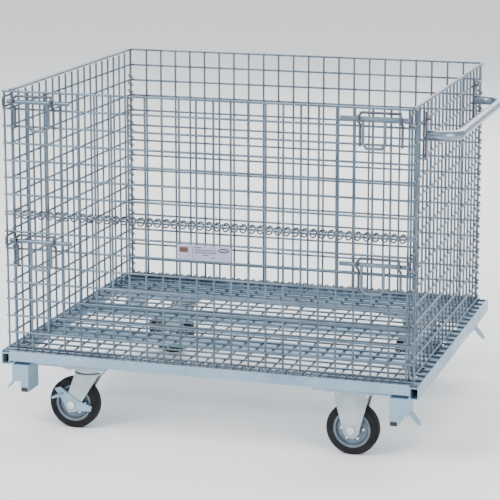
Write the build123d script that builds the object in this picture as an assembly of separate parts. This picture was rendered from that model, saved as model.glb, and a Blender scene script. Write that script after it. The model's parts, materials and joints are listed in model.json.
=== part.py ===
from build123d import *
import os

# Wire mesh pallet container on casters. Millimetres, Z up, floor at z = 0,
# front (drop gate) toward -Y, push handle on +X.

os.makedirs("parts", exist_ok=True)

# mesh
WIRE_D = 6.0
WIRE_R = WIRE_D / 2
LAYER = WIRE_D
PITCH = 50.0
COLS = 24
COL_X0 = -575.0
FRONT_EDGE_X = 597.0
PANEL_BASE_Z = 240.0
PANEL_TOP_Z = 990.0
LOWER_TOP_Z = 636.0
GATE_BASE_Z = 644.0
FRONT_Y = 490.0
BACK_Y = 490.0
SIDE_X = 585.0
SIDE_FRONT_Y = -468.0
SIDE_REAR_Y = 477.0
BACK_EDGE_X = 580.0
TOP_RAIL_D = 9.0
CORNER_SWELL = 1.04

# base
BASE_X = 615.0
BASE_Y = 505.0
TUBE_W = 26.0
TUBE_WALL = 3.0
TUBE_BASE_Z = 196.0
TUBE_TOP_Z = 230.0
BASE_TOP_Z = 236.0
TUBE_IN_X = BASE_X - TUBE_W
BEAM_BASE_Z = 207.0
BEAM_DEPTH = 30.0
BEAM_WALL = 3.0
DECK_X_Z = 233.0
DECK_Y_Z = DECK_X_Z - LAYER
DECK_ROWS = 21
BAND_YS = (-195.0, 95.0, 370.0)
BAND_HALF = 50.0
BAND_DEPTH = 12.0
BAND_TOP_Z = DECK_Y_Z - WIRE_R
BAND_WALL = 2.5
MOUNT_X0 = 306.0
MOUNT_X1 = 602.0
MOUNT_Y0 = 362.0
MOUNT_Y1 = 475.0
MOUNT_BASE_Z = 192.0
MOUNT_WALL = 4.0

# legs
LEG_X0 = 534.0
LEG_X1 = 584.0
LEG_Y0 = 428.0
LEG_Y1 = 502.0
LEG_WALL = 3.0
LEG_FOOT_Z = 117.0
LEG_NOTCH_Z = 147.0
LEG_SPLIT_X = LEG_X0 + 24.0
EAR_W = 36.0
EAR_REACH = 30.0
EAR_T = 3.0

# casters
WHEEL_R = 75.0
TYRE_W = 38.0
RIM_R = 54.0
AXLE_Z = WHEEL_R
AXLE_R = 6.0
FIT = 0.05
CASTER_Y = 420.0
PIVOT_X = -376.0
TRAIL = 45.0
RIGID_X = 412.0
PLATE_X = 130.0
PLATE_Y = 104.0
PLATE_T = 5.0
PLATE_TOP_Z = MOUNT_BASE_Z
FORK_IN = 24.0
FORK_T = 4.0
HUB_HALF = 23.0
CROWN_TOP_Z = 170.5
CROWN_T = 5.0
CROWN_R = 44.0
RACE_R = 42.0
KING_R = 8.0
PEDAL_GAP = 5.5
BOLT_DX = 50.0
BOLT_DY = 38.0

# latches
ROD_R = 6.0
ROD_Y = -507.0
ROD_LEN = 187.0
ROD_END_X = 578.0
GUIDE_R = 3.5
GUIDE_X0 = 442.0
GUIDE_X1 = 559.0
GUIDE_FOOT = 78.0
GUIDE_TOP = 14.5
PULL_R = 4.0
PULL_X0 = 453.0
PULL_X1 = 514.0
PULL_DROP = 81.0
STAPLE_X = 585.0
STAPLE_R = 3.0
STAPLE_HALF = 14.0
STAPLE_Y = -520.0
LATCH_ZS = (964.0, 564.0)

# coil hinges
GATE_COIL = (11.5, 2.0)
FIXED_COIL = (9.2, 1.75)
COIL_SAG = 2.0
COIL_STEP = 25.0
COIL_TILT = 33.0

# push handle
HANDLE_R = 13.5
HANDLE_X = 675.0
HANDLE_Y = 337.0
HANDLE_Z = 898.0
HANDLE_BEND = 55.0
BRACKET_T = 5.0
BRACKET_W = 26.0
BRACKET_H = 134.0

# name plate
CARD_X0 = -80.0
CARD_X1 = 78.0
CARD_Z0 = 540.0
CARD_Z1 = 583.0
CARD_T = 1.5


def save(shape, name):
    shape.label = name
    export_step(shape, "parts/" + name + ".step")
    print(name, len(shape.solids()), round(shape.volume))


def rod(start, end, radius):
    """Round bar between two points."""
    a = Vector(*start)
    b = Vector(*end)
    axis = b - a
    return Plane(origin=a, z_dir=axis) * extrude(Circle(radius), axis.length)


def bent_wire(points, radius):
    """Round wire through points, with corners a little thicker than the wire."""
    pieces = [rod(p, q, radius) for p, q in zip(points[:-1], points[1:])]
    pieces += [Pos(*p) * Sphere(radius * CORNER_SWELL) for p in points[1:-1]]
    return pieces[0].fuse(*pieces[1:])


def block(x0, x1, y0, y1, z0, z1):
    lower = (min(x0, x1), min(y0, y1), min(z0, z1))
    size = (abs(x1 - x0), abs(y1 - y0), abs(z1 - z0))
    return Pos(*lower) * Box(*size, align=(Align.MIN, Align.MIN, Align.MIN))


def spread(first, last, count):
    step = (last - first) / (count - 1)
    return [first + step * i for i in range(count)]


def joined(pieces):
    return pieces[0].fuse(*pieces[1:])


def group(pieces):
    return Compound(children=list(pieces))


def mirrored(piece, along_x, along_y):
    if along_x < 0:
        piece = mirror(piece, Plane.YZ)
    if along_y < 0:
        piece = mirror(piece, Plane.XZ)
    return piece


COL_XS = [COL_X0 + PITCH * k for k in range(COLS)]
CORNERS = [(sx, sy) for sx in (-1, 1) for sy in (-1, 1)]


def upright_mesh(row_y, col_y, edge_x, columns, z0, z1, rows):
    """Welded mesh panel standing in an XZ plane: rows along X, columns along Z."""
    wires = []
    for z in spread(z0, z1, rows):
        wires.append(rod((-edge_x - WIRE_R, row_y, z), (edge_x + WIRE_R, row_y, z), WIRE_R))
    for x in [-edge_x] + columns + [edge_x]:
        wires.append(rod((x, col_y, z0 - WIRE_R), (x, col_y, z1 + WIRE_R), WIRE_R))
    return group(wires)


# front gate and lower front panel
front_col_y = -FRONT_Y + LAYER
back_cols = COL_XS[1:-1]
lower = upright_mesh(-FRONT_Y, front_col_y, FRONT_EDGE_X, COL_XS, PANEL_BASE_Z, LOWER_TOP_Z, 9)
gate = upright_mesh(-FRONT_Y, front_col_y, FRONT_EDGE_X, COL_XS, GATE_BASE_Z, PANEL_TOP_Z, 8)
back = upright_mesh(BACK_Y, BACK_Y - LAYER, BACK_EDGE_X, back_cols, PANEL_BASE_Z, PANEL_TOP_Z, 16)
save(lower, "lower_panel_mesh")
save(gate, "gate_mesh")
save(back, "back_panel_mesh")


def side_mesh():
    """Right side panel: rows along Y, columns along Z, heavier top rail."""
    col_x = SIDE_X - LAYER
    top = PANEL_TOP_Z - TOP_RAIL_D / 2
    wires = []
    for z in spread(PANEL_BASE_Z, PANEL_TOP_Z, 16):
        radius = TOP_RAIL_D / 2 if z == PANEL_TOP_Z else WIRE_R
        wires.append(rod((SIDE_X, SIDE_FRONT_Y - WIRE_R, z), (SIDE_X, SIDE_REAR_Y + WIRE_R, z), radius))
    inner = spread(-425.0, 425.0, 18)
    for y in [SIDE_FRONT_Y] + inner + [SIDE_REAR_Y]:
        wires.append(rod((col_x, y, PANEL_BASE_Z - WIRE_R), (col_x, y, top), WIRE_R))
    return group(wires)


right_mesh = side_mesh()
save(right_mesh, "right_panel_mesh")
save(group([mirror(wire, Plane.YZ) for wire in right_mesh.solids()]), "left_panel_mesh")


def deck():
    wires = []
    for y in spread(-FRONT_Y, BACK_Y, DECK_ROWS):
        reach = BASE_X - TUBE_WALL
        wires.append(rod((-reach, y, DECK_X_Z), (reach, y, DECK_X_Z), WIRE_R))
    reach = BASE_Y - BEAM_WALL
    for x in COL_XS:
        wires.append(rod((x, -reach, DECK_Y_Z), (x, reach, DECK_Y_Z), WIRE_R))
    return group(wires)


save(deck(), "deck_mesh")


def side_beam():
    outer = block(TUBE_IN_X, BASE_X, -BASE_Y, BASE_Y, TUBE_BASE_Z, TUBE_TOP_Z)
    x0 = TUBE_IN_X + TUBE_WALL
    x1 = BASE_X - TUBE_WALL
    bore = block(x0, x1, -BASE_Y, BASE_Y, TUBE_BASE_Z + TUBE_WALL, TUBE_TOP_Z - TUBE_WALL)
    lip = block(x1, BASE_X, -BASE_Y, BASE_Y, TUBE_TOP_Z, BASE_TOP_Z)
    return (outer - bore) + lip


def end_beam():
    """Front beam: upright web outside, flange turned inward at the bottom."""
    y1 = -BASE_Y + BEAM_WALL
    web = block(-TUBE_IN_X, TUBE_IN_X, -BASE_Y, y1, BEAM_BASE_Z, BASE_TOP_Z)
    flange = block(-TUBE_IN_X, TUBE_IN_X, y1, -BASE_Y + BEAM_DEPTH, BEAM_BASE_Z, BEAM_BASE_Z + BEAM_WALL)
    return web + flange


beam_x = side_beam()
beam_y = end_beam()
save(group([beam_x, mirror(beam_x, Plane.YZ)]), "side_beams")
save(group([beam_y, mirror(beam_y, Plane.XZ)]), "end_beams")


def deck_band(y):
    """Ribbed pressed channel under the deck wires."""
    top = BAND_TOP_Z
    low = top - BAND_DEPTH
    w = BAND_WALL
    strips = [(-50.0, -35.0), (-15.0, 15.0), (35.0, 50.0)]
    valleys = [(-35.0, -15.0), (15.0, 35.0)]
    pieces = [block(-TUBE_IN_X, TUBE_IN_X, y + a, y + b, top - w, top) for a, b in strips]
    for a, b in valleys:
        pieces.append(block(-TUBE_IN_X, TUBE_IN_X, y + a, y + b, low, low + w))
        pieces.append(block(-TUBE_IN_X, TUBE_IN_X, y + a, y + a + w, low, top))
        pieces.append(block(-TUBE_IN_X, TUBE_IN_X, y + b - w, y + b, low, top))
    for a in (-BAND_HALF, BAND_HALF - w):
        pieces.append(block(-TUBE_IN_X, TUBE_IN_X, y + a, y + a + w, low, top))
    return joined(pieces)


save(group([deck_band(y) for y in BAND_YS]), "deck_bands")


def caster_mount():
    x1 = TUBE_IN_X
    t = MOUNT_WALL
    floor = block(MOUNT_X0, MOUNT_X1, MOUNT_Y0, MOUNT_Y1, MOUNT_BASE_Z, MOUNT_BASE_Z + t)
    corner = block(LEG_X0, LEG_X1, MOUNT_Y1, LEG_Y1, MOUNT_BASE_Z, MOUNT_BASE_Z + t)
    inner = block(MOUNT_X0, x1, MOUNT_Y0, MOUNT_Y0 + t, MOUNT_BASE_Z, BAND_TOP_Z - BAND_DEPTH)
    outer = block(MOUNT_X0, x1, MOUNT_Y1 - t, MOUNT_Y1, MOUNT_BASE_Z, BEAM_BASE_Z)
    return joined([floor, corner, inner, outer])


mount = caster_mount()
save(group([mirrored(mount, sx, sy) for sx, sy in CORNERS]), "caster_mounts")


def corner_leg():
    """Right rear leg: boxed plate, outer half cut short, flared guide ear."""
    w = LEG_WALL
    outer = block(LEG_X0, LEG_X1, LEG_Y0, LEG_Y1, LEG_FOOT_Z, MOUNT_BASE_Z)
    bore = block(LEG_X0 + w, LEG_X1 - w, LEG_Y0 + w, LEG_Y1 - w, LEG_FOOT_Z - 1, MOUNT_BASE_Z + 1)
    notch = block(LEG_SPLIT_X, LEG_X1 + 1, LEG_Y0 - 1, LEG_Y1 + 1, LEG_FOOT_Z - 1, LEG_NOTCH_Z)
    shell = outer - bore - notch
    step = block(LEG_SPLIT_X - w, LEG_SPLIT_X, LEG_Y0 + w, LEG_Y1 - w, LEG_FOOT_Z, LEG_NOTCH_Z + w)
    shelf = block(LEG_SPLIT_X, LEG_X1 - w, LEG_Y0 + w, LEG_Y1 - w, LEG_NOTCH_Z, LEG_NOTCH_Z + w)
    mid_y = (LEG_Y0 + LEG_Y1) / 2
    flat = Rectangle(EAR_REACH, EAR_W, align=(Align.MIN, Align.CENTER))
    ear_shape = flat + Pos(EAR_REACH, 0) * Circle(EAR_W / 2)
    ear = Pos(LEG_X1 - w, mid_y, LEG_NOTCH_Z + w) * Rot(0, 50, 0) * extrude(ear_shape, EAR_T)
    ear = ear - block(LEG_X0, LEG_X1 - w, LEG_Y0, LEG_Y1, LEG_FOOT_Z - 50, MOUNT_BASE_Z)
    return joined([shell, step, shelf, ear])


leg = corner_leg()
save(group([mirrored(leg, sx, sy) for sx, sy in CORNERS]), "corner_legs")


def foot_pad():
    w = LEG_WALL
    x1 = LEG_SPLIT_X - w
    return block(LEG_X0 + w, x1, LEG_Y0 + w, LEG_Y1 - w, LEG_FOOT_Z - 2, LEG_FOOT_Z + 14)


pad = foot_pad()
save(group([mirrored(pad, sx, sy) for sx, sy in CORNERS]), "foot_pads")


# casters, built about a vertical line at the origin and placed afterwards
def top_plate():
    plate = extrude(RectangleRounded(PLATE_X, PLATE_Y, 8), PLATE_T)
    return Pos(0, 0, PLATE_TOP_Z - PLATE_T) * plate


def swivel_head():
    """Top plate with ball race and king pin."""
    z_plate = PLATE_TOP_Z - PLATE_T
    race_h = z_plate - CROWN_TOP_Z - 0.5
    race = Pos(0, 0, CROWN_TOP_Z + 0.5) * extrude(Circle(RACE_R), race_h)
    race = chamfer(race.edges().group_by(Axis.Z)[0], 4)
    pin = rod((0, 0, CROWN_TOP_Z - CROWN_T - 5), (0, 0, z_plate), KING_R)
    head = Pos(0, 0, CROWN_TOP_Z - CROWN_T - 5.5) * extrude(Circle(13), 5)
    return joined([top_plate(), race, pin, head])


def fork_leg(x_axle, half_top, top_z, y0):
    """Tapered cheek ending in a round eye at the axle."""
    eye_r = 24.0
    pts = [(-half_top, top_z), (half_top, top_z), (x_axle + eye_r, AXLE_Z), (x_axle - eye_r, AXLE_Z)]
    outline = make_face(Polyline(*pts, close=True)) + Pos(x_axle, AXLE_Z) * Circle(eye_r)
    outline = outline - Pos(x_axle, AXLE_Z) * Circle(AXLE_R)
    return Plane(origin=(0, y0, 0), x_dir=(1, 0, 0), z_dir=(0, -1, 0)) * extrude(outline, FORK_T)


def swivel_fork():
    z0 = CROWN_TOP_Z - CROWN_T
    crown = Pos(0, 0, z0) * extrude(Circle(CROWN_R) - Circle(KING_R + FIT), CROWN_T)
    cheeks = [fork_leg(-TRAIL, 36, z0 + 1, y) for y in (-FORK_IN, FORK_IN + FORK_T)]
    return joined([crown] + cheeks)


def rigid_fork():
    z0 = PLATE_TOP_Z - PLATE_T
    cheeks = [fork_leg(0, 54, z0 + 1, y) for y in (-FORK_IN, FORK_IN + FORK_T)]
    return joined([top_plate()] + cheeks)


def bolt_set(centre_x, centre_y):
    """Four mounting bolts: heads under the plate, nuts above the mount floor."""
    pieces = []
    for dx in (-BOLT_DX, BOLT_DX):
        for dy in (-BOLT_DY, BOLT_DY):
            at = Pos(centre_x + dx, centre_y + dy, 0)
            head = Pos(0, 0, PLATE_TOP_Z - PLATE_T - 6) * extrude(RegularPolygon(8.5, 6), 6)
            nut = Pos(0, 0, PLATE_TOP_Z + MOUNT_WALL) * extrude(RegularPolygon(8.5, 6), 8)
            pieces += [at * head, at * nut]
    return pieces


def axle_bolt(x, y, out, standoff):
    """Axle through the cheeks; out is the side the head faces."""
    tip = FORK_IN + FORK_T
    head_at = y + out * (tip + standoff)
    shank = rod((x, y - out * (tip + 6), AXLE_Z), (x, head_at + out * 3, AXLE_Z), AXLE_R)
    head = rod((x, head_at, AXLE_Z), (x, head_at + out * 6, AXLE_Z), 11)
    nut = rod((x, y - out * tip, AXLE_Z), (x, y - out * (tip + 7), AXLE_Z), 10)
    return joined([shank, head, nut])


def tyre(x, y):
    half = TYRE_W / 2
    pts = [(RIM_R, -half), (WHEEL_R - 6, -half), (WHEEL_R, -half + 7), (WHEEL_R, half - 7)]
    pts += [(WHEEL_R - 6, half), (RIM_R, half)]
    profile = make_face(Polyline(*pts, close=True))
    ring = revolve(Plane.XY * profile, Axis.Y)
    return Pos(x, y, AXLE_Z) * ring


def hub(x, y):
    """Pressed steel disc wheel centre with rim, bearing boss and six rivets a side."""
    pts = [(AXLE_R + FIT, -HUB_HALF), (17, -HUB_HALF), (20, -9), (43, -9), (47, -TYRE_W / 2 + 2)]
    pts += [(RIM_R, -TYRE_W / 2 + 2), (RIM_R, TYRE_W / 2 - 2), (47, TYRE_W / 2 - 2), (43, 9)]
    pts += [(20, 9), (17, HUB_HALF), (AXLE_R + FIT, HUB_HALF)]
    body = revolve(Plane.XY * make_face(Polyline(*pts, close=True)), Axis.Y)
    rivets = [Rot(0, 60 * i, 0) * rod((31, -11.5, 0), (31, 11.5, 0), 4) for i in range(6)]
    return Pos(x, y, AXLE_Z) * joined([body] + rivets)


def brake_pedal(x, y, out):
    """Rocking brake lever on the axle outside the fork, with a foot tread."""
    near = y + out * (FORK_IN + FORK_T + 0.5)
    pts = [(-52, 44), (-34, 50), (14, 14), (62, -2), (58, -16), (0, -17), (-16, -10)]
    outline = make_face(Polyline(*pts, close=True)) + Circle(17)
    outline = outline - Circle(AXLE_R + FIT)
    plate = Plane(origin=(x, near, AXLE_Z), x_dir=(1, 0, 0), z_dir=(0, -1, 0)) * extrude(outline, -out * 4.5)
    tread_box = block(-54, -26, 0, 30, 0, 5)
    slope = Pos(x, near, AXLE_Z + 39) * Rot(0, -20, 0) * tread_box
    if out < 0:
        slope = Pos(0, 2 * near, 0) * mirror(slope, Plane.XZ)
    return joined([plate, slope])


WHEEL_X = PIVOT_X - TRAIL
save(group([Pos(PIVOT_X, y, 0) * swivel_head() for y in (-CASTER_Y, CASTER_Y)]), "swivel_heads")
save(group([Pos(RIGID_X, y, 0) * rigid_fork() for y in (-CASTER_Y, CASTER_Y)]), "rigid_forks")
save(group([axle_bolt(RIGID_X, side * CASTER_Y, side, 0) for side in (-1, 1)]), "rigid_axles")
bolts = []
for x in (PIVOT_X, RIGID_X):
    for y in (-CASTER_Y, CASTER_Y):
        bolts += bolt_set(x, y)
save(group(bolts), "caster_bolts")
for tag, side in (("front", -1), ("rear", 1)):
    y = side * CASTER_Y
    save(Pos(PIVOT_X, y, 0) * swivel_fork(), "swivel_fork_" + tag)
    save(axle_bolt(WHEEL_X, y, side, PEDAL_GAP), "swivel_axle_" + tag)
    save(brake_pedal(WHEEL_X, y, side), "brake_pedal_" + tag)
    save(tyre(WHEEL_X, y), "tyre_left_" + tag)
    save(hub(WHEEL_X, y), "hub_left_" + tag)
    save(tyre(RIGID_X, y), "tyre_right_" + tag)
    save(hub(RIGID_X, y), "hub_right_" + tag)


# slide bolt latches
def latch_guide(z):
    """Bent wire keeper in front of the mesh that the bolt slides behind."""
    y_in = -FRONT_Y - WIRE_R - GUIDE_R
    y_out = ROD_Y - ROD_R - GUIDE_R - 0.7
    pts = []
    for x, way in ((GUIDE_X0, 1), (GUIDE_X1, -1)):
        leg_pts = [(x, y_in, z - GUIDE_FOOT), (x, y_in, z - 17), (x, y_out, z - 6), (x, y_out, z + 7.5)]
        leg_pts += [(x + way * 5, y_in, z + GUIDE_TOP)]
        pts += leg_pts if way > 0 else leg_pts[::-1]
    return bent_wire(pts, GUIDE_R)


def latch_bolt(z):
    return rod((ROD_END_X - ROD_LEN, ROD_Y, z), (ROD_END_X, ROD_Y, z), ROD_R)


def latch_pull(z):
    """Drop-shaped pull loop hanging from the bolt."""
    top = z - ROD_R + 0.5
    low = z - PULL_DROP
    pts = [(PULL_X0, ROD_Y, top), (PULL_X0, ROD_Y, low + 12), (PULL_X0 + 10, ROD_Y, low)]
    pts += [(PULL_X1 - 10, ROD_Y, low), (PULL_X1, ROD_Y, low + 12), (PULL_X1, ROD_Y, top)]
    return bent_wire(pts, PULL_R)


def staple(z):
    """Keeper loop on the side panel's front edge that the bolt shoots through."""
    back = SIDE_FRONT_Y
    low = z - STAPLE_HALF
    high = z + STAPLE_HALF
    pts = [(STAPLE_X, back, low), (STAPLE_X, STAPLE_Y + 5, low), (STAPLE_X, STAPLE_Y, low + 6)]
    pts += [(STAPLE_X, STAPLE_Y, high - 6), (STAPLE_X, STAPLE_Y + 5, high), (STAPLE_X, back, high)]
    return bent_wire(pts, STAPLE_R)


for level, z in zip(("upper", "lower"), LATCH_ZS):
    guide = latch_guide(z)
    save(group([guide, mirror(guide, Plane.YZ)]), level + "_latch_guides")
    for hand, sx in (("left", -1), ("right", 1)):
        bolt = latch_bolt(z)
        save(mirrored(bolt, sx, 1), "_".join([level, "bolt", hand]))
        save(mirrored(latch_pull(z) - bolt, sx, 1), "_".join([level, "pull", hand]))

keepers = [staple(z) for z in LATCH_ZS]
save(group(keepers + [mirror(k, Plane.YZ) for k in keepers]), "latch_staples")


# coil hinges
def loop_x(x, y, z, size):
    """One turn of a coil lying along X."""
    return Pos(x, y, z) * Rot(0, 0, -COIL_TILT) * Rot(0, 90, 0) * Torus(*size)


def loop_z(x, y, z, size):
    """One turn of a coil standing along Z."""
    return Pos(x, y, z) * Rot(0, COIL_TILT, 0) * Torus(*size)


COIL_XS = [COL_X0 + COIL_STEP / 2 + COIL_STEP * i for i in range(2 * COLS - 2)]
MID_Z = (LOWER_TOP_Z + GATE_BASE_Z) / 2 - COIL_SAG
FOOT_Z = (DECK_X_Z + PANEL_BASE_Z) / 2
save(group([loop_x(x, -FRONT_Y, MID_Z, GATE_COIL) for x in COIL_XS]), "coil_gate")
save(group([loop_x(x, -FRONT_Y, FOOT_Z, FIXED_COIL) for x in COIL_XS]), "coil_front_foot")
save(group([loop_x(x, BACK_Y, FOOT_Z, FIXED_COIL) for x in COIL_XS]), "coil_back_foot")

corner_y = (SIDE_REAR_Y + BACK_Y - LAYER) / 2
coil_zs = [PANEL_BASE_Z + 12.5 + COIL_STEP * i for i in range(27)]
for hand, sx in (("left", -1), ("right", 1)):
    turns = [loop_z(sx * BACK_EDGE_X, corner_y, z, FIXED_COIL) for z in coil_zs]
    save(group(turns), "coil_corner_" + hand)


# push handle
def handle_tube():
    wall_x = SIDE_X + WIRE_R + BRACKET_T
    a = Vector(wall_x, -HANDLE_Y, HANDLE_Z)
    b = Vector(HANDLE_X, -HANDLE_Y, HANDLE_Z)
    c = Vector(HANDLE_X, HANDLE_Y, HANDLE_Z)
    d = Vector(wall_x, HANDLE_Y, HANDLE_Z)
    path = FilletPolyline(a, b, c, d, radius=HANDLE_BEND)
    start = Plane(origin=a, z_dir=(1, 0, 0))
    ring = start * (Circle(HANDLE_R) - Circle(HANDLE_R - 2.5))
    return sweep(ring, path=path)


save(handle_tube(), "push_handle")


def handle_bracket(y):
    x0 = SIDE_X + WIRE_R
    z0 = HANDLE_Z - BRACKET_H / 2
    bar = block(x0, x0 + BRACKET_T, y - BRACKET_W / 2, y + BRACKET_W / 2, z0, z0 + BRACKET_H)
    hook = block(x0 + BRACKET_T, x0 + 16, y - 9, y + 9, z0 + BRACKET_H - 24, z0 + BRACKET_H - 19)
    tip = block(x0 + 13, x0 + 16, y - 9, y + 9, z0 + BRACKET_H - 19, z0 + BRACKET_H - 8)
    return joined([bar, hook, tip])


save(group([handle_bracket(y) for y in (-HANDLE_Y, HANDLE_Y)]), "handle_brackets")

card_y = -FRONT_Y - WIRE_R
card = block(CARD_X0, CARD_X1, card_y - CARD_T, card_y, CARD_Z0, CARD_Z1)
card = fillet(card.edges().filter_by(Axis.Y), 3)
save(card, "name_plate")
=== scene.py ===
import bpy
import json
import math
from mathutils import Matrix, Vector


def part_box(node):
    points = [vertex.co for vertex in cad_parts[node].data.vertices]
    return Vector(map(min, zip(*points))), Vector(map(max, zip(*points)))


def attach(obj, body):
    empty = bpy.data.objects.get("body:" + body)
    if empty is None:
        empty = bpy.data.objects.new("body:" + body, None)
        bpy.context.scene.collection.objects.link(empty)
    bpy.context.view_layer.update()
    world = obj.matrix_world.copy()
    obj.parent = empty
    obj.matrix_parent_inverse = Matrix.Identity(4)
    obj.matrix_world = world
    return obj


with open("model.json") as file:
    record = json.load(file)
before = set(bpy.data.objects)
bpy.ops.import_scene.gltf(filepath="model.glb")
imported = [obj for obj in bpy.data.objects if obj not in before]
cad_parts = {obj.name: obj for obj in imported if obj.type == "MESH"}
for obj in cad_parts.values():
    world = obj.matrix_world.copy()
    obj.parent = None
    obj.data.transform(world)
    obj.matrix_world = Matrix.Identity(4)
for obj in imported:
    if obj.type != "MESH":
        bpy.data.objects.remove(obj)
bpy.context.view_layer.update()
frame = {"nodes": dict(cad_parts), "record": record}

NODES = frame["nodes"]
CAMERA_AZIMUTH = 17.1
CAMERA_ELEVATION = 10.8
CAMERA_DISTANCE = 6.042
CAMERA_LENS = 145.5
CAMERA_TARGET = Vector((0.0, 0.0, 0.690))
CAMERA_SHIFT_X = -0.013
CAMERA_SHIFT_Y = -0.148


# ---------------------------------------------------------------- materials
def new_material(name):
    """A new Principled material, its node tree and its shader."""
    mat = bpy.data.materials.new(name)
    mat.use_nodes = True
    tree = mat.node_tree
    shader = tree.nodes["Principled BSDF"]
    return mat, tree, shader


def noise(tree, scale, detail=4.0, rough=0.55):
    coords = tree.nodes.new("ShaderNodeTexCoord")
    tex = tree.nodes.new("ShaderNodeTexNoise")
    tex.inputs["Scale"].default_value = scale
    tex.inputs["Detail"].default_value = detail
    tex.inputs["Roughness"].default_value = rough
    tree.links.new(coords.outputs["Object"], tex.inputs["Vector"])
    return tex


def ramp(tree, source, low, high, colour_a, colour_b):
    node = tree.nodes.new("ShaderNodeValToRGB")
    node.color_ramp.elements[0].position = low
    node.color_ramp.elements[1].position = high
    node.color_ramp.elements[0].color = (*colour_a, 1)
    node.color_ramp.elements[1].color = (*colour_b, 1)
    tree.links.new(source, node.inputs["Fac"])
    return node


def value_range(tree, source, low, high):
    """A 0 to 1 value spread over low to high."""
    node = tree.nodes.new("ShaderNodeMapRange")
    node.inputs["To Min"].default_value = low
    node.inputs["To Max"].default_value = high
    tree.links.new(source, node.inputs["Value"])
    return node


def bump(tree, shader, source, strength, distance):
    node = tree.nodes.new("ShaderNodeBump")
    node.inputs["Strength"].default_value = strength
    node.inputs["Distance"].default_value = distance
    tree.links.new(source, node.inputs["Height"])
    tree.links.new(node.outputs["Normal"], shader.inputs["Normal"])


def plated(name, dark, light, metallic, rough_low, rough_high, scale, bump_size):
    """Zinc plate: cloudy colour, cloudy gloss and a fine grain."""
    mat, tree, shader = new_material(name)
    clouds = noise(tree, scale)
    tint = ramp(tree, clouds.outputs["Fac"], 0.3, 0.7, dark, light)
    tree.links.new(tint.outputs["Color"], shader.inputs["Base Color"])
    gloss = noise(tree, scale * 3.1, 6.0, 0.65)
    rough = value_range(tree, gloss.outputs["Fac"], rough_low, rough_high)
    tree.links.new(rough.outputs["Result"], shader.inputs["Roughness"])
    shader.inputs["Metallic"].default_value = metallic
    grain = noise(tree, 900.0, 3.0)
    bump(tree, shader, grain.outputs["Fac"], 0.25, bump_size)
    return mat


def rubber(name):
    mat, tree, shader = new_material(name)
    dust = noise(tree, 22.0, 7.0, 0.7)
    tint = ramp(tree, dust.outputs["Fac"], 0.35, 0.75, (0.006, 0.006, 0.007), (0.022, 0.022, 0.025))
    tree.links.new(tint.outputs["Color"], shader.inputs["Base Color"])
    rough = value_range(tree, dust.outputs["Fac"], 0.5, 0.8)
    tree.links.new(rough.outputs["Result"], shader.inputs["Roughness"])
    shader.inputs["Specular IOR Level"].default_value = 0.15
    grain = noise(tree, 400.0, 5.0)
    bump(tree, shader, grain.outputs["Fac"], 0.4, 0.0004)
    return mat


def painted(name, colour, roughness):
    mat, tree, shader = new_material(name)
    haze = noise(tree, 30.0)
    pale = tuple(min(1.0, c * 1.12) for c in colour)
    tint = ramp(tree, haze.outputs["Fac"], 0.3, 0.7, colour, pale)
    tree.links.new(tint.outputs["Color"], shader.inputs["Base Color"])
    shader.inputs["Roughness"].default_value = roughness
    grain = noise(tree, 500.0)
    bump(tree, shader, grain.outputs["Fac"], 0.15, 0.0002)
    return mat


# name, dark and light colour, metallic, roughness from and to, size of the clouds, depth of the grain
WIRE = plated("zinc_wire_mat", (0.070, 0.100, 0.135), (0.150, 0.205, 0.260), 0.60, 0.24, 0.42, 9.0, 0.00015)
SHEET = plated("zinc_sheet_mat", (0.20, 0.31, 0.41), (0.32, 0.45, 0.57), 0.50, 0.30, 0.48, 6.0, 0.0002)
TUBE = plated("zinc_tube_mat", (0.16, 0.20, 0.27), (0.32, 0.38, 0.46), 0.85, 0.18, 0.34, 12.0, 0.0001)
RAIL = plated("rail_wire_mat", (0.055, 0.062, 0.085), (0.12, 0.135, 0.17), 0.6, 0.25, 0.42, 14.0, 0.00015)
BRIGHT = plated("bright_fastener_mat", (0.55, 0.58, 0.60), (0.78, 0.80, 0.82), 0.85, 0.16, 0.30, 40.0,
                0.0001)
DISC = plated("wheel_disc_mat", (0.09, 0.12, 0.155), (0.17, 0.22, 0.27), 0.5, 0.30, 0.46, 18.0, 0.0002)
TYRE = rubber("tyre_mat")
FORK = plated("fork_plate_mat", (0.30, 0.36, 0.37), (0.46, 0.53, 0.53), 0.55, 0.26, 0.44, 16.0, 0.0002)
# black of the foot pads; the same colour also paints the shade sheets at the leg feet
PAD_AND_LEG_SHADE = painted("foot_pad_and_leg_shade_mat", (0.015, 0.015, 0.017), 0.6)
CARD = painted("card_mat", (0.30, 0.31, 0.42), 0.35)
INK = painted("card_ink_mat", (0.03, 0.035, 0.05), 0.5)
RED_INK = painted("card_red_ink_mat", (0.16, 0.03, 0.02), 0.5)

SLOT_LOOKS = {
    "zinc_wire": WIRE,
    "zinc_sheet": SHEET,
    "zinc_tube": TUBE,
    "fastener": BRIGHT,
    "tyre_rubber": TYRE,
    "pad": PAD_AND_LEG_SHADE,
    "card": CARD,
}


def dress(node, mat):
    """Give one CAD node its material."""
    obj = NODES[node]
    if not obj.material_slots:
        obj.data.materials.append(mat)
        return
    for place in obj.material_slots:
        place.material = mat


for entry in frame["record"]["subparts"]:
    dress(entry["node"], SLOT_LOOKS[entry["material_slot"]])
for tag in ("left_front", "left_rear", "right_front", "right_rear"):
    dress("hub_" + tag, DISC)
dress("push_handle", TUBE)
for node in ("rigid_forks", "swivel_fork_front", "swivel_fork_rear", "swivel_heads"):
    dress(node, FORK)
for node in ("handle_brackets", "upper_latch_guides", "lower_latch_guides", "latch_staples",
             "coil_gate", "coil_front_foot", "coil_back_foot", "coil_corner_left", "coil_corner_right"):
    dress(node, RAIL)


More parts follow.
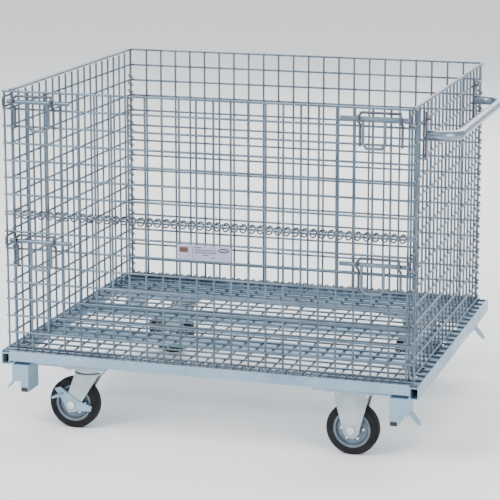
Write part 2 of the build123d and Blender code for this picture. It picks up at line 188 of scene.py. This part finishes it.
# ---------------------------------------------------------------- added pieces
def add_mesh(name, verts, faces, mat, body, smooth=True):
    mesh = bpy.data.meshes.new(name)
    mesh.from_pydata(verts, [], faces)
    mesh.update()
    obj = bpy.data.objects.new(name, mesh)
    bpy.context.scene.collection.objects.link(obj)
    mesh.materials.append(mat)
    for poly in mesh.polygons:
        poly.use_smooth = smooth
    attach(obj, body)
    return obj


def dome(centre, normal, radius, height, rings=4, around=14):
    """Vertices and faces of a low closed dome standing on a plane."""
    n = Vector(normal).normalized()
    side = n.orthogonal().normalized()
    up = n.cross(side)
    verts = []
    faces = []
    for i in range(rings):
        a = 0.5 * math.pi * i / rings
        r = radius * math.cos(a)
        h = height * math.sin(a)
        for j in range(around):
            t = 2 * math.pi * j / around
            verts.append(Vector(centre) + n * h + side * (r * math.cos(t)) + up * (r * math.sin(t)))
    verts.append(Vector(centre) + n * height)
    for i in range(rings - 1):
        for j in range(around):
            k = (j + 1) % around
            faces.append((i * around + j, i * around + k, (i + 1) * around + k, (i + 1) * around + j))
    last = (rings - 1) * around
    for j in range(around):
        faces.append((last + j, last + (j + 1) % around, len(verts) - 1))
    faces.append(tuple(reversed(range(around))))
    return verts, faces


def many_domes(name, places, normal, radius, height, mat, body):
    verts = []
    faces = []
    for place in places:
        v, f = dome(place, normal, radius, height)
        base = len(verts)
        verts += v
        faces += [tuple(i + base for i in face) for face in f]
    return add_mesh(name, verts, faces, mat, body)


def spread(first, last, count):
    return [first + (last - first) * i / (count - 1) for i in range(count)]


# weld dimples along the top of the front end beam
DIMPLE_COUNT = 23
DIMPLE_FIRST_X = -0.553
DIMPLE_LAST_X = 0.547
DIMPLE_DROP = 0.007
DIMPLE_R = 0.004
DIMPLE_H = 0.0012
beam_low, beam_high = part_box("end_beams")
dimple_z = beam_high[2] - DIMPLE_DROP
dimples = [(x, beam_low[1], dimple_z) for x in spread(DIMPLE_FIRST_X, DIMPLE_LAST_X, DIMPLE_COUNT)]
many_domes("weld_dimples_front", dimples, (0, -1, 0), DIMPLE_R, DIMPLE_H, SHEET, "base")


# wheel rivets, on both faces of every disc
RIVET_COUNT = 6
RIVET_CIRCLE_R = 0.031
RIVET_FACE_Y = 0.0112
RIVET_R = 0.0055
RIVET_H = 0.0025
for tag, side in (("front", -1), ("rear", 1)):
    for hand in ("left", "right"):
        low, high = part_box("hub_%s_%s" % (hand, tag))
        centre_x = (low[0] + high[0]) / 2
        centre_y = (low[1] + high[1]) / 2
        centre_z = (low[2] + high[2]) / 2
        for face, sign in (("out", side), ("in", -side)):
            heads = []
            for i in range(RIVET_COUNT):
                t = math.radians(360 / RIVET_COUNT * i)
                x = centre_x + RIVET_CIRCLE_R * math.cos(t)
                z = centre_z - RIVET_CIRCLE_R * math.sin(t)
                heads.append((x, centre_y + sign * RIVET_FACE_Y, z))
            many_domes("rivets_%s_%s_%s" % (hand, tag, face), heads, (0, sign, 0), RIVET_R, RIVET_H,
                       BRIGHT, "wheel_%s_%s" % (hand, tag))


def slab(name, x0, x1, z0, z1, y, thick, mat, body="lower_panel"):
    verts = []
    for yy in (y, y - thick):
        verts += [(x0, yy, z0), (x1, yy, z0), (x1, yy, z1), (x0, yy, z1)]
    faces = [(0, 1, 2, 3), (7, 6, 5, 4), (0, 4, 5, 1), (1, 5, 6, 2), (2, 6, 7, 3), (3, 7, 4, 0)]
    return add_mesh(name, verts, faces, mat, body, smooth=False)


# painted shade: a thin dark sheet on the face of each leg's foot, standing for the shade inside the leg's
# open channel
LEG_SHADE_INNER_X = 0.5365
LEG_SHADE_OUTER_X = 0.5555
LEG_SHADE_RISE = 0.0025
LEG_SHADE_H = 0.011
LEG_SHADE_T = 0.0005
LEG_SHADE_FRONT_Y = -0.50205
LEG_SHADE_REAR_Y = 0.50255
foot_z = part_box("foot_pads")[0][2] + LEG_SHADE_RISE
for tag, y in (("front", LEG_SHADE_FRONT_Y), ("rear", LEG_SHADE_REAR_Y)):
    for hand, side in (("left", -1), ("right", 1)):
        xs = sorted((side * LEG_SHADE_INNER_X, side * LEG_SHADE_OUTER_X))
        slab("painted_leg_shade_%s_%s" % (hand, tag), xs[0], xs[1], foot_z, foot_z + LEG_SHADE_H, y, LEG_SHADE_T,
             PAD_AND_LEG_SHADE, "base")


def ring_mark(name, centre, outer_x, outer_z, band, y, thick, mat, around=40):
    verts = []
    faces = []
    for yy in (y, y - thick):
        for shrink in (0.0, band):
            for j in range(around):
                t = 2 * math.pi * j / around
                x = centre[0] + (outer_x - shrink) * math.cos(t)
                z = centre[1] + (outer_z - shrink) * math.sin(t)
                verts.append((x, yy, z))
    for j in range(around):
        k = (j + 1) % around
        a, b, c, d = j, around + j, 2 * around + j, 3 * around + j
        a1, b1, c1, d1 = k, around + k, 2 * around + k, 3 * around + k
        faces += [(a, b, b1, a1), (c, c1, d1, d), (a, a1, c1, c), (b, d, d1, b1)]
    return add_mesh(name, verts, faces, mat, "lower_panel", smooth=False)


# generic printing on the name plate: a block, lines and an oval, no words
card_low, card_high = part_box("name_plate")
card_w = card_high[0] - card_low[0]
card_h = card_high[2] - card_low[2]
INK_GAP = 0.0001
INK_T = 0.0003
DASH_PITCH = 0.035
DASH_FILL = 0.62
DASH_HALF_H = 0.035
OVAL_BAND = 0.0035
ink_y = card_low[1] - INK_GAP


def card_x(u):
    return card_low[0] + u * card_w


def card_z(v):
    return card_low[2] + v * card_h


slab("print_block", card_x(0.05), card_x(0.21), card_z(0.50), card_z(0.84), ink_y, INK_T, RED_INK)
slab("print_block_core", card_x(0.06), card_x(0.20), card_z(0.62), card_z(0.74), ink_y - INK_T, INK_T, INK)
slab("print_divider", card_x(0.295), card_x(0.30), card_z(0.10), card_z(0.90), ink_y, INK_T, INK)
# each dashed line: height, start and end, as fractions of the card
LINE_SPANS = (
    (0.86, 0.34, 0.46),
    (0.70, 0.34, 0.72),
    (0.54, 0.33, 0.74),
    (0.38, 0.48, 0.60),
    (0.24, 0.64, 0.72),
)
for i, (v, u0, u1) in enumerate(LINE_SPANS):
    steps = max(2, round((u1 - u0) / DASH_PITCH))
    for j in range(steps):
        a = u0 + (u1 - u0) * j / steps
        b = a + DASH_FILL * (u1 - u0) / steps
        slab("print_line_%d_%d" % (i, j), card_x(a), card_x(b), card_z(v - DASH_HALF_H),
             card_z(v + DASH_HALF_H), ink_y, INK_T, INK)
ring_mark("print_oval", (card_x(0.87), card_z(0.74)), card_w * 0.10, card_h * 0.14, OVAL_BAND,
          ink_y, INK_T, INK)


# ---------------------------------------------------------------- stage
def stage_floor():
    mat, tree, shader = new_material("floor_mat")
    shader.inputs["Base Color"].default_value = (0.97, 0.975, 0.98, 1)
    shader.inputs["Roughness"].default_value = 0.9
    bpy.ops.mesh.primitive_plane_add(size=60, location=(0, 0, 0))
    floor = bpy.context.object
    floor.name = "floor"
    floor.data.materials.append(mat)


def area_light(name, place, size, power, target=(0, 0, 0.5)):
    data = bpy.data.lights.new(name, "AREA")
    data.size = size
    data.energy = power
    lamp = bpy.data.objects.new(name, data)
    lamp.location = place
    lamp.rotation_euler = (Vector(target) - Vector(place)).to_track_quat("-Z", "Y").to_euler()
    bpy.context.scene.collection.objects.link(lamp)


stage_floor()
area_light("key_light", (-3.2, -4.0, 4.6), 3.5, 360)
area_light("fill_light", (4.2, -3.2, 2.6), 3.0, 150)
area_light("back_light", (0.5, 4.5, 4.0), 4.0, 260)

world = bpy.data.worlds.new("studio")
bpy.context.scene.world = world
world.use_nodes = True
world.node_tree.nodes["Background"].inputs["Color"].default_value = (0.94, 0.97, 1.0, 1)
world.node_tree.nodes["Background"].inputs["Strength"].default_value = 1.15

azimuth = math.radians(CAMERA_AZIMUTH)
elevation = math.radians(CAMERA_ELEVATION)
back = Vector((math.sin(azimuth) * math.cos(elevation), -math.cos(azimuth) * math.cos(elevation),
               math.sin(elevation)))
lens = bpy.data.cameras.new("camera")
lens.lens = CAMERA_LENS
lens.sensor_width = 36
lens.shift_x = CAMERA_SHIFT_X
lens.shift_y = CAMERA_SHIFT_Y
lens.clip_end = 100
camera = bpy.data.objects.new("camera", lens)
camera.location = CAMERA_TARGET + back * CAMERA_DISTANCE
camera.rotation_euler = (-back).to_track_quat("-Z", "Y").to_euler()
bpy.context.scene.collection.objects.link(camera)
bpy.context.scene.camera = camera
